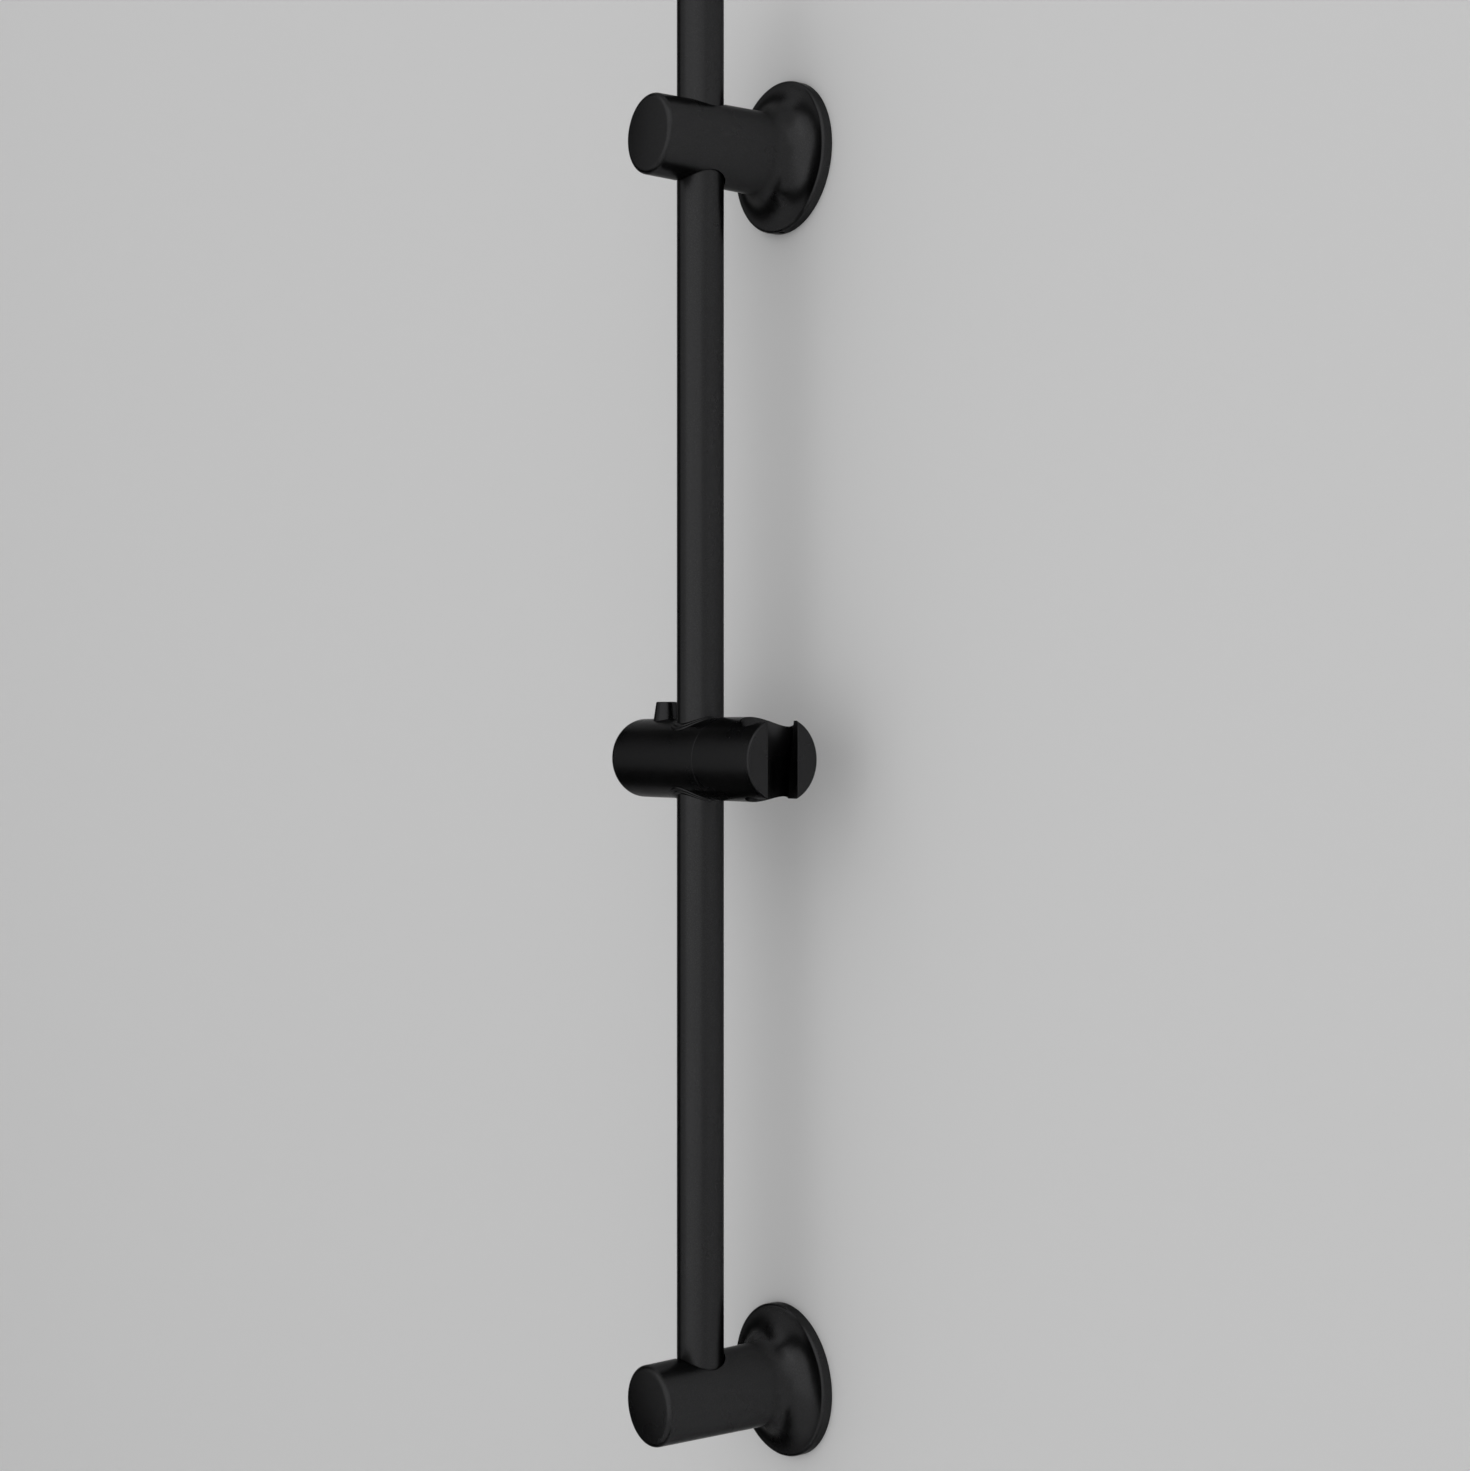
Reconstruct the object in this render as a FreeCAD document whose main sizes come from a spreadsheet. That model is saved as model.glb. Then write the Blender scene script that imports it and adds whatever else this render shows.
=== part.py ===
"""Shower slide rail: a tube on two bell-shaped wall brackets, with a braked slider and a handset holder.

Millimetres. The wall is the plane y = 0 and the room is on the -y side. The origin is on the wall at the
lower bracket's centre, z is up along the tube and x is to the right for someone who faces the wall.
"""

import FreeCAD
import Part
import Sketcher
import math
import os
import re

SIZES = [
    # The tube and where it stands
    ("rail_dia", 22.0, "outside diameter of the tube"),
    ("rail_wall", 1.2, "tube wall"),
    ("rail_above", 77.0, "tube above the upper bracket's axis"),
    ("rail_below", 12.0, "tube below the lower bracket's axis"),
    ("bracket_pitch", 585.0, "between the two bracket axes"),
    ("wall_to_rail", 50.0, "wall to the tube's axis"),
    ("plug_head", 2.0, "height of the top plug above the tube"),
    ("plug_edge", 1.0, "rounded edge of the top plug"),
    ("plug_depth", 9.0, "plug inside the tube"),
    ("plug_fit", 0.05, "radial play of the plug in the tube"),
    # Brackets
    ("arm_reach", 30.0, "tube axis to the arm's front"),
    ("arm_front_radius", 18.45, "arm radius behind its front edge"),
    ("arm_root_radius", 19.4, "arm radius where the bell starts"),
    ("arm_edge", 2.6, "rounded front edge of the arm"),
    ("arm_dome", 0.5, "rise of the domed front face"),
    ("arm_flat", 1.0, "radius of the flat spot in the middle of the dome"),
    ("bell_radius", 14.5, "radius of the hollow curve from arm to flange"),
    ("flange_land", 0.25, "flat ring outside the bell"),
    ("flange_edge", 1.6, "rounded front edge of the flange"),
    ("flange_rim", 5.2, "height of the flange's rim"),
    ("bush_wall", 0.65, "wall of the liner in an arm"),
    ("bush_recess", 2.0, "liner end below the mouth of the arm's cross bore"),
    ("bush_fit", 0.05, "radial play of a liner, inside and outside"),
    # Wall plates
    ("plate_radius", 26.0, "wall plate"),
    ("plate_thick", 4.8, "wall plate"),
    ("plate_play", 0.2, "play between the plate and its pocket"),
    ("spigot_radius", 13.0, "spigot of the plate"),
    ("spigot_bore", 8.0, "radius of the hole through the spigot"),
    ("spigot_length", 24.0, "wall to the spigot's end"),
    ("spigot_play", 0.1, "radial play of the spigot"),
    ("wall_hole_pitch", 38.0, "between the two wall holes"),
    ("wall_hole_radius", 2.5, "hole for a wall screw"),
    ("wall_hole_sink", 2.2, "depth and extra radius of the countersink"),
    # Grub screws
    ("plate_screw_radius", 1.5, "grub screw in the rim"),
    ("plate_screw_length", 8.0, "grub screw in the rim"),
    ("rail_screw_radius", 3.0, "grub screw behind the tube"),
    ("rail_screw_length", 9.0, "grub screw behind the tube"),
    ("screw_point", 1.2, "length of a grub screw's narrowed point"),
    ("point_share", 0.6, "point radius over screw radius"),
    ("socket_share", 0.55, "hexagon socket's corner radius over screw radius"),
    ("socket_depth", 2.5, "socket of a grub screw"),
    ("screw_fit", 0.05, "play round a grub screw and at its point"),
    # Slider
    ("slider_height", 297.5, "slider's axis above the lower bracket's axis"),
    ("slider_radius", 18.85, "slider body"),
    ("slider_edge", 4.25, "rounded left end of the slider"),
    ("seam_edge", 0.45, "rounded edges at the seam"),
    ("seam_gap", 0.25, "gap between slider body and holder"),
    ("guide_wall", 1.35, "wall of a guide liner"),
    ("guide_run", 0.06, "radial running play on the tube"),
    ("guide_proud", 0.9, "guide liner's end above the slider body"),
    ("collar_wall", 1.15, "raised collar round a guide liner"),
    ("collar_proud", 0.5, "collar above the slider body"),
    ("sleeve_half", 6.5, "half height of the grip sleeve"),
    ("sleeve_play", 0.3, "play between the grip sleeve and a guide liner"),
    ("sleeve_slit", 3.0, "slit of the grip sleeve"),
    # Brake
    ("pad_thick", 1.5, "brake pad"),
    ("pad_gap", 0.05, "running play before and behind the pad"),
    ("shoe_radius", 6.2, "brake shoe"),
    ("shoe_run", 0.1, "radial play of the shoe"),
    ("shoe_tail", 8.0, "shoe behind the button's axis"),
    ("spring_space", 9.0, "room for the spring behind the shoe"),
    ("spring_radius", 4.3, "middle of the spring's wire"),
    ("spring_wire", 0.9, "thickness of the spring's wire"),
    ("spring_turns", 4.0, "turns"),
    ("spring_seat", 0.1, "play at the spring's ends"),
    ("end_wall", 4.9, "left end wall of the slider body"),
    # Button
    ("button_gap", 9.7, "guide liner to the button's side"),
    ("button_base", 6.4, "radius of the button's barrel"),
    ("button_top", 5.05, "radius of the button at its top"),
    ("button_edge", 0.6, "rounded top edge of the button"),
    ("button_rise", 8.0, "button above the slider body"),
    ("button_run", 0.1, "radial play of the button"),
    ("button_travel", 3.0, "stroke"),
    ("barrel_end", 10.0, "slider axis to the barrel's lower end"),
    ("bead_height", 1.0, "bead that keeps the button in"),
    ("bead_proud", 0.4, "bead beyond the barrel"),
    ("blade_thick", 4.0, "wedge blade"),
    ("blade_front", 2.0, "button axis to the blade's straight side"),
    ("blade_wedge", 2.5, "button axis to the wedge face at the slider axis"),
    ("blade_foot", 2.7, "slider axis to the blade's foot"),
    ("blade_shoulder", 5.5, "slider axis to the top of the wedge face"),
    ("blade_play", 0.05, "play at the wedge face"),
    ("blade_side_play", 0.2, "play beside the blade"),
    ("blade_front_play", 2.6, "room before the blade's straight side"),
    ("wedge_slope", 0.4, "shoe travel over button travel"),
    # Holder and its pivot
    ("holder_radius", 19.25, "holder"),
    ("holder_edge", 1.1, "rounded edge of the holder's end face"),
    ("hub_radius", 12.0, "hub that turns in the slider body"),
    ("hub_depth", 2.0, "recess for the hub"),
    ("hub_run", 0.1, "radial play of the hub"),
    ("washer_thick", 0.5, "friction washer"),
    ("washer_radius", 7.8, "friction washer"),
    ("washer_play", 0.05, "play at the washer"),
    ("stop_radius", 9.9, "pivot axis to the tilt stop peg"),
    ("stop_peg", 1.3, "radius of the tilt stop peg"),
    ("stop_play", 0.2, "play round the tilt stop peg"),
    ("stop_depth", 1.3, "peg beyond the hub"),
    ("tilt_limit", 45.0, "tilt each way, degrees"),
    ("pivot_radius", 2.5, "pivot screw's shank"),
    ("pivot_run", 0.08, "radial running play of the pivot screw"),
    ("pivot_head", 4.5, "radius of the pivot screw's head"),
    ("pivot_head_height", 2.6, "pivot screw's head"),
    ("pivot_socket", 2.3, "corner radius of the hexagon socket in the head"),
    ("pivot_socket_depth", 1.7, "socket in the head"),
    ("pivot_head_gap", 0.6, "grip sleeve to the pivot screw's head"),
    ("pivot_head_play", 0.05, "play under the pivot screw's head"),
    ("pivot_wall", 2.8, "wall between head and hub"),
    ("pivot_grip", 15.0, "pivot screw inside the holder"),
    # Handset seat
    ("seat_back", 19.1, "holder's back to the seat's rim"),
    ("seat_top_radius", 12.6, "conical seat at the holder's top"),
    ("seat_bottom_radius", 9.5, "conical seat at the holder's underside"),
    ("seat_front", 12.55, "seat axis to the end face"),
    ("slot_width", 16.4, "slot for the hose"),
    ("slot_edge", 0.4, "rounded edges of the slot's mouth"),
    # Tools that only cut reach this far past the surface
    ("past", 2.0, "overrun of a cut"),
]

# Places worked out from the sizes above
RAIL_R = "rail_dia / 2"
ARM_BORE = "(rail_dia / 2 + bush_wall + 2 * bush_fit)"
ARM_END = "(wall_to_rail + arm_reach)"
FLANGE_R = "(arm_root_radius + bell_radius + flange_land + flange_edge)"
POCKET_R = "(plate_radius + plate_play)"
POCKET_Z = "(plate_thick + plate_play)"
SPIGOT_HOLE_Z = "(spigot_length + plate_play)"
GUIDE_R = "(rail_dia / 2 + guide_run + guide_wall)"
GUIDE_BORE = "(rail_dia / 2 + guide_run + guide_wall + bush_fit)"
COLLAR_R = "(rail_dia / 2 + guide_run + guide_wall + bush_fit + collar_wall)"
GUIDE_Z = "(sleeve_half + sleeve_play)"
PAD_R = f"({GUIDE_R} + pad_gap)"
SHOE_R = f"({GUIDE_R} + 2 * pad_gap + pad_thick)"
BUTTON_X = f"({GUIDE_R} + button_gap + button_base)"
SHOE_BACK = f"({BUTTON_X} + shoe_tail)"
CHAMBER_END = f"({BUTTON_X} + shoe_tail + spring_space)"
SLIDER_LEFT = f"({BUTTON_X} + shoe_tail + spring_space + end_wall)"
HEAD_X = f"({GUIDE_R} + pivot_head_gap)"
HEAD_SEAT = f"({HEAD_X} + pivot_head_height + pivot_head_play)"
HUB_FLOOR = f"({HEAD_SEAT} + pivot_wall)"
SLIDER_RIGHT = f"({HUB_FLOOR} + hub_depth)"
HUB_END = f"({HUB_FLOOR} + washer_thick + washer_play)"
HOLDER_BACK = f"({SLIDER_RIGHT} + seam_gap)"
SEAT_X = f"({HOLDER_BACK} + seat_back + seat_top_radius)"
HOLDER_END = f"({SEAT_X} + seat_front)"
BUTTON_Z = "(slider_radius + button_rise)"

doc = FreeCAD.newDocument("shower_slide_rail")
sheet = doc.addObject("Spreadsheet::Sheet", "sizes")
for row, (alias, number, note) in enumerate(SIZES, start=1):
    sheet.set(f"A{row}", str(number))
    sheet.setAlias(f"A{row}", alias)
    sheet.set(f"B{row}", note)
doc.recompute()
ALIASES = {alias for alias, number, note in SIZES}

X_AXIS = FreeCAD.Vector(1, 0, 0)
Y_AXIS = FreeCAD.Vector(0, 1, 0)
Z_AXIS = FreeCAD.Vector(0, 0, 1)
OUT_OF_WALL = FreeCAD.Rotation(X_AXIS, 90)
UPRIGHT = FreeCAD.Rotation()
subparts = []


def formula(text):
    """An expression over the sheet's cells, from one over their plain names."""
    return re.sub(r"[a-z]\w*", lambda m: f"sizes.{m[0]}" if m[0] in ALIASES else m[0], text)


def value(text):
    return sheet.evalExpression(formula(text))


def bind(obj, **sizes):
    for name, text in sizes.items():
        obj.setExpression(name, formula(text))


def place(obj, at, rotation=UPRIGHT):
    """Put an object at a point given by three formulas."""
    obj.Placement = FreeCAD.Placement(FreeCAD.Vector(*[value(text) for text in at]), rotation)
    for letter, text in zip("xyz", at):
        obj.setExpression(f"Placement.Base.{letter}", formula(text))


def along(axis):
    return FreeCAD.Rotation(Z_AXIS, axis)


def new_body(label, at, rotation=UPRIGHT):
    body = doc.addObject("PartDesign::Body", label)
    body.Label = label
    place(body, at, rotation)
    subparts.append(body)
    return body


def new_sketch(body, name, role):
    sketch = body.newObject("Sketcher::SketchObject", name)
    plane = next(item for item in body.Origin.OriginFeatures if item.Role == role)
    sketch.AttachmentSupport = [(plane, "")]
    sketch.MapMode = "FlatFace"
    return sketch


def pin_point(sketch, geometry, end, x, y, tag):
    """Fix a sketch point at two formulas."""
    for letter, text, kind, axis in (("x", x, "DistanceX", -2), ("y", y, "DistanceY", -1)):
        if text == "0":
            sketch.addConstraint(Sketcher.Constraint("PointOnObject", geometry, end, axis))
            continue
        number = sketch.addConstraint(Sketcher.Constraint(kind, -1, 1, geometry, end, value(text)))
        sketch.renameConstraint(number, f"{letter}{tag}")
        sketch.setExpression(f"Constraints.{letter}{tag}", formula(text))


def arc_between(start, end, radius, turn):
    """Arc from start to end; turn is 1 where it bends to the left and -1 to the right."""
    chord = end - start
    left = FreeCAD.Vector(-chord.y, chord.x, 0).normalize()
    rise = math.sqrt(max(radius**2 - (chord.Length / 2) ** 2, 0))
    centre = (start + end) / 2 + left * rise * turn
    first, last = (start, end) if turn > 0 else (end, start)
    angles = [math.atan2(p.y - centre.y, p.x - centre.x) for p in (first, last)]
    return Part.ArcOfCircle(Part.Circle(centre, Z_AXIS, radius), *angles)


def draw_outline(sketch, points):
    """Closed outline. A point is (x, y), reached by a straight line, or (x, y, radius, turn), by an arc."""
    places = [FreeCAD.Vector(value(p[0]), value(p[1]), 0) for p in points]
    ends = []
    for number, point in enumerate(points):
        start, end = places[number - 1], places[number]
        if len(point) == 2:
            geometry = sketch.addGeometry(Part.LineSegment(start, end))
            ends.append((geometry, 1, 2))
            continue
        geometry = sketch.addGeometry(arc_between(start, end, value(point[2]), point[3]))
        ends.append((geometry, 1, 2) if point[3] > 0 else (geometry, 2, 1))
        radius = sketch.addConstraint(Sketcher.Constraint("Radius", geometry, value(point[2])))
        sketch.renameConstraint(radius, f"r{number}")
        sketch.setExpression(f"Constraints.r{number}", formula(point[2]))
    for number, point in enumerate(points):
        geometry, first, last = ends[number]
        following, its_first, its_last = ends[(number + 1) % len(points)]
        sketch.addConstraint(Sketcher.Constraint("Coincident", geometry, last, following, its_first))
        pin_point(sketch, geometry, last, point[0], point[1], number)


def revolve(body, name, role, axis, points):
    sketch = new_sketch(body, f"{name}_profile", role)
    draw_outline(sketch, points)
    turned = body.newObject("PartDesign::Revolution", name)
    turned.Profile = sketch
    turned.ReferenceAxis = (sketch, [axis])
    turned.Angle = 360
    doc.recompute()
    return turned


def plate_from(body, kind, name, role, points, width):
    """Pad or Pocket of an outline, half to each side of its plane."""
    sketch = new_sketch(body, f"{name}_outline", role)
    draw_outline(sketch, points)
    feature = body.newObject(f"PartDesign::{kind}", name)
    feature.Profile = sketch
    feature.SideType = "Symmetric"
    bind(feature, Length=width)
    doc.recompute()
    return feature


def shape_in(body, kind, name, at, axis, **sizes):
    """A primitive added to a body, or cut from it, standing on a point and reaching along an axis."""
    before = 0 if body.Shape.isNull() else body.Shape.Volume
    feature = body.newObject(f"PartDesign::{kind}", name)
    bind(feature, **sizes)
    place(feature, at, along(axis))
    doc.recompute()
    if abs(body.Shape.Volume - before) < 1e-3:
        raise RuntimeError(f"{name} changes nothing in {body.Label}")
    return feature


def bored(body, name, at, axis, radius, depth):
    return shape_in(body, "SubtractiveCylinder", name, at, axis, Radius=radius, Height=depth)


def cylinder(name, at, axis, radius, height):
    tool = doc.addObject("Part::Cylinder", name)
    bind(tool, Radius=radius, Height=height)
    place(tool, at, along(axis))
    return tool


def combine(kind, name, base, tool):
    made = doc.addObject(f"Part::{kind}", name)
    made.Base = base
    made.Tool = tool
    return made


def fused(name, shapes):
    made = doc.addObject("Part::MultiFuse", name)
    made.Shapes = shapes
    return made


def as_subpart(made, label, at):
    made.Label = label
    place(made, at)
    subparts.append(made)
    return made


SLIDER_AT = ("0", "-wall_to_rail", "slider_height")


def make_rail():
    tube = new_body("rail_tube", ("0", "-wall_to_rail", "0"))
    top = "bracket_pitch + rail_above"
    inside = f"{RAIL_R} - rail_wall"
    wall = [(inside, "-rail_below"), (RAIL_R, "-rail_below"), (RAIL_R, top), (inside, top)]
    revolve(tube, "tube", "XZ_Plane", "V_Axis", wall)

    plug = new_body("rail_top_plug", ("0", "-wall_to_rail", top))
    stem = f"{inside} - plug_fit"
    outline = [
        ("0", "-plug_depth"),
        (stem, "-plug_depth"),
        (stem, "0"),
        (RAIL_R, "0"),
        (RAIL_R, "plug_head - plug_edge"),
        (f"{RAIL_R} - plug_edge", "plug_head", "plug_edge", 1),
        ("0", "plug_head"),
    ]
    revolve(plug, "plug", "XZ_Plane", "V_Axis", outline)


def make_bracket(side, height, bore_from, bore_length):
    """Arm, bell and flange in one casting. In its own frame z leaves the wall and y is up."""
    bracket = new_body(f"{side}_bracket", ("0", "0", height), OUT_OF_WALL)
    face_radius = "(arm_front_radius - arm_edge)"
    dome_height = f"(({face_radius}^2 + arm_dome^2 - arm_flat^2) / (2 * arm_dome))"
    dome_radius = f"sqrt(arm_flat^2 + {dome_height}^2)"
    outline = [
        ("0", SPIGOT_HOLE_Z),
        ("spigot_radius + spigot_play", SPIGOT_HOLE_Z),
        ("spigot_radius + spigot_play", POCKET_Z),
        (POCKET_R, POCKET_Z),
        (POCKET_R, "0"),
        (FLANGE_R, "0"),
        (FLANGE_R, "flange_rim - flange_edge"),
        (f"{FLANGE_R} - flange_edge", "flange_rim", "flange_edge", 1),
        ("arm_root_radius + bell_radius", "flange_rim"),
        ("arm_root_radius", "flange_rim + bell_radius", "bell_radius", -1),
        ("arm_front_radius", f"{ARM_END} - arm_dome - arm_edge"),
        (face_radius, f"{ARM_END} - arm_dome", "arm_edge", 1),
        ("arm_flat", ARM_END, dome_radius, 1),
        ("0", ARM_END),
    ]
    revolve(bracket, "casting", "XZ_Plane", "V_Axis", outline)
    bored(bracket, "cross_bore", ("0", bore_from, "wall_to_rail"), Y_AXIS, ARM_BORE, bore_length)
    bored(
        bracket,
        "rail_screw_hole",
        ("0", "0", "spigot_length"),
        Z_AXIS,
        "rail_screw_radius + screw_fit",
        "wall_to_rail - spigot_length",
    )
    bored(
        bracket,
        "plate_screw_hole",
        ("0", f"-{FLANGE_R} - past", "flange_rim / 2"),
        Y_AXIS,
        "plate_screw_radius + screw_fit",
        f"{FLANGE_R} + past - plate_radius",
    )


def make_wall_plate(side, height):
    plate = new_body(f"{side}_wall_plate", ("0", "0", height), OUT_OF_WALL)
    outline = [
        ("spigot_bore", "0"),
        ("plate_radius", "0"),
        ("plate_radius", "plate_thick"),
        ("spigot_radius", "plate_thick"),
        ("spigot_radius", "spigot_length"),
        ("spigot_bore", "spigot_length"),
    ]
    revolve(plate, "plate", "XZ_Plane", "V_Axis", outline)
    through = "plate_thick + 2 * past"
    for name, way in (("high", ""), ("low", "-")):
        spot = f"{way}wall_hole_pitch / 2"
        bored(plate, f"{name}_hole", ("0", spot, "-past"), Z_AXIS, "wall_hole_radius", through)
        shape_in(
            plate,
            "SubtractiveCone",
            f"{name}_sink",
            ("0", spot, "plate_thick - wall_hole_sink"),
            Z_AXIS,
            Radius1="wall_hole_radius",
            Radius2="wall_hole_radius + wall_hole_sink",
            Height="wall_hole_sink",
        )


def make_grub_screw(label, at, rotation, radius, length):
    """Headless screw with its point at the start of its own z axis and a hexagon socket at the other end."""
    screw = new_body(label, at, rotation)
    outline = [
        ("0", "0"),
        (f"{radius} * point_share", "0"),
        (radius, "screw_point"),
        (radius, length),
        ("0", length),
    ]
    revolve(screw, "screw", "XZ_Plane", "V_Axis", outline)
    shape_in(
        screw,
        "SubtractivePrism",
        "socket",
        ("0", "0", f"{length} - socket_depth"),
        Z_AXIS,
        Circumradius=f"{radius} * socket_share",
        Height="socket_depth + past",
    )


def make_rail_bush(side, height, low, high):
    """Liner of an arm's cross bore, with a hole that lets the screw through to the tube."""
    bush = new_body(f"{side}_rail_bush", ("0", "-wall_to_rail", height))
    inside = f"{RAIL_R} + bush_fit"
    outside = f"{RAIL_R} + bush_fit + bush_wall"
    ring = [(inside, low), (outside, low), (outside, high), (inside, high)]
    revolve(bush, "bush", "XZ_Plane", "V_Axis", ring)
    bored(bush, "screw_hole", ("0", "0", "0"), Y_AXIS, "rail_screw_radius + screw_fit", f"{ARM_BORE} + past")


def make_brackets():
    mouth = f"sqrt(arm_front_radius^2 - {ARM_BORE}^2) - bush_recess"
    through = "(arm_root_radius + past)"
    ends = {
        "upper": ("bracket_pitch", f"-{through}", f"2 * {through}", f"-({mouth})"),
        "lower": ("0", "-rail_below", f"rail_below + {through}", "-rail_below"),
    }
    for side, (height, bore_from, bore_length, bush_low) in ends.items():
        make_bracket(side, height, bore_from, bore_length)
        make_wall_plate(side, height)
        make_rail_bush(side, height, bush_low, mouth)
        make_grub_screw(
            f"{side}_plate_screw",
            ("0", "-flange_rim / 2", f"{height} - plate_radius - screw_fit"),
            along(-Z_AXIS),
            "plate_screw_radius",
            "plate_screw_length",
        )
        make_grub_screw(
            f"{side}_rail_screw",
            ("0", f"{RAIL_R} + screw_fit - wall_to_rail", height),
            along(Y_AXIS),
            "rail_screw_radius",
            "rail_screw_length",
        )


def make_grip_sleeve():
    sleeve = new_body("grip_sleeve", SLIDER_AT)
    inside = f"{RAIL_R} + guide_run"
    low, high = "-sleeve_half", "sleeve_half"
    ring = [(inside, low), (GUIDE_R, low), (GUIDE_R, high), (inside, high)]
    revolve(sleeve, "sleeve", "XZ_Plane", "V_Axis", ring)
    slit = [
        ("0", "-sleeve_slit / 2"),
        (f"{GUIDE_R} + past", "-sleeve_slit / 2"),
        (f"{GUIDE_R} + past", "sleeve_slit / 2"),
        ("0", "sleeve_slit / 2"),
    ]
    plate_from(sleeve, "Pocket", "slit", "XY_Plane", slit, "2 * (sleeve_half + past)")


def make_slider_shell():
    """Outside of the slider body, before its bores: a cylinder with one rounded end."""
    shell = doc.addObject("PartDesign::Body", "slider_shell")
    outline = [
        (f"-{SLIDER_LEFT}", "0"),
        (SLIDER_RIGHT, "0"),
        (SLIDER_RIGHT, "slider_radius - seam_edge"),
        (f"{SLIDER_RIGHT} - seam_edge", "slider_radius", "seam_edge", 1),
        (f"slider_edge - {SLIDER_LEFT}", "slider_radius"),
        (f"-{SLIDER_LEFT}", "slider_radius - slider_edge", "slider_edge", 1),
    ]
    revolve(shell, "shell", "XZ_Plane", "H_Axis", outline)
    return shell


def saddle(name, radius, proud):
    """Upright cylinder through the slider, its two ends following the slider's round surface."""
    high = f"(slider_radius + {proud} + past)"
    post = cylinder(f"{name}_post", ("0", "0", f"-{high}"), Z_AXIS, radius, f"2 * {high}")
    wide = f"({radius} + past)"
    skin = cylinder(f"{name}_skin", (f"-{wide}", "0", "0"), X_AXIS, f"slider_radius + {proud}", f"2 * {wide}")
    return combine("Common", name, post, skin)


def make_stop_groove():
    """Part of a ring, centred upwards, in which the holder's stop peg runs."""
    width = "(stop_peg + stop_play)"
    peg_angle = math.degrees(math.asin(value("(stop_peg + stop_play) / stop_radius")))
    half = value("tilt_limit") + peg_angle
    depth = "stop_depth + stop_play"
    start = (f"{HUB_FLOOR} - stop_depth - stop_play + washer_thick", "0", "0")
    sector = cylinder("stop_sector", start, X_AXIS, f"stop_radius + {width}", depth)
    sector.Angle = 2 * half
    sector.Placement.Rotation = FreeCAD.Rotation(Y_AXIS, 90).multiply(FreeCAD.Rotation(Z_AXIS, 180 - half))
    core = cylinder("stop_core", start, X_AXIS, f"stop_radius - {width}", depth)
    return combine("Cut", "stop_groove", sector, core)


def make_slider_body():
    collars = saddle("collars", COLLAR_R, "collar_proud")
    outside = combine("Fuse", "slider_outside", make_slider_shell(), collars)
    high = "(slider_radius + collar_proud + past)"
    button_at = f"-{BUTTON_X}"
    step = "(barrel_end + bead_height + bead_proud + button_run)"
    bores = [
        cylinder("tube_bore", ("0", "0", f"-{high}"), Z_AXIS, GUIDE_BORE, f"2 * {high}"),
        cylinder("chamber", (f"-{CHAMBER_END}", "0", "0"), X_AXIS, "shoe_radius + shoe_run", CHAMBER_END),
        cylinder("head_bore", ("0", "0", "0"), X_AXIS, "pivot_head + pivot_head_gap", HEAD_SEAT),
        cylinder("pivot_bore", ("0", "0", "0"), X_AXIS, "pivot_radius + pivot_run", f"{SLIDER_RIGHT} + past"),
        cylinder("hub_recess", (HUB_FLOOR, "0", "0"), X_AXIS, "hub_radius + hub_run", "hub_depth + past"),
        cylinder("button_bore", (button_at, "0", "0"), Z_AXIS, "button_base + button_run", high),
        cylinder("bead_room", (button_at, "0", "0"), Z_AXIS, "button_base + bead_proud + button_run", step),
        make_stop_groove(),
    ]
    made = combine("Cut", "slider_body", outside, fused("slider_bores", bores))
    as_subpart(made, "slider_body", SLIDER_AT)


def make_guide_bushes():
    for side, way in (("upper", Z_AXIS), ("lower", -Z_AXIS)):
        name = f"{side}_guide_bush"
        sign = "" if side == "upper" else "-"
        long = "(slider_radius + guide_proud + past)"
        keep = cylinder(f"{name}_half", ("0", "0", f"{sign}{GUIDE_Z}"), way, COLLAR_R, long)
        half = combine("Common", f"{name}_outside", saddle(f"{name}_saddle", GUIDE_R, "guide_proud"), keep)
        hole = cylinder(f"{name}_hole", ("0", "0", "0"), way, f"{RAIL_R} + guide_run", f"2 * {long}")
        as_subpart(combine("Cut", name, half, hole), name, SLIDER_AT)


def make_brake():
    shoe = new_body("brake_shoe", SLIDER_AT)
    shape_in(
        shoe,
        "AdditiveCylinder",
        "plunger",
        (f"-{SHOE_BACK}", "0", "0"),
        X_AXIS,
        Radius="shoe_radius",
        Height=SHOE_BACK,
    )
    tall = "(shoe_radius + past)"
    bored(shoe, "hollow_face", ("0", "0", f"-{tall}"), Z_AXIS, SHOE_R, f"2 * {tall}")
    face = f"({BUTTON_X} + blade_wedge + blade_play)"
    front = f"blade_front + blade_front_play - {BUTTON_X}"
    slot = [
        (f"{tall} * wedge_slope - {face}", f"-{tall}"),
        (front, f"-{tall}"),
        (front, tall),
        (f"-{tall} * wedge_slope - {face}", tall),
    ]
    plate_from(shoe, "Pocket", "blade_slot", "XZ_Plane", slot, "blade_thick + 2 * blade_side_play")

    rod = cylinder("pad_rod", (f"-{SHOE_R}", "0", "0"), X_AXIS, "shoe_radius", SHOE_R)
    outer = cylinder("pad_outer", ("0", "0", f"-{tall}"), Z_AXIS, f"{PAD_R} + pad_thick", f"2 * {tall}")
    inner = cylinder("pad_inner", ("0", "0", f"-{tall}"), Z_AXIS, PAD_R, f"2 * {tall}")
    pad = combine("Cut", "brake_pad", combine("Common", "pad_blank", rod, outer), inner)
    as_subpart(pad, "brake_pad", SLIDER_AT)


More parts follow.
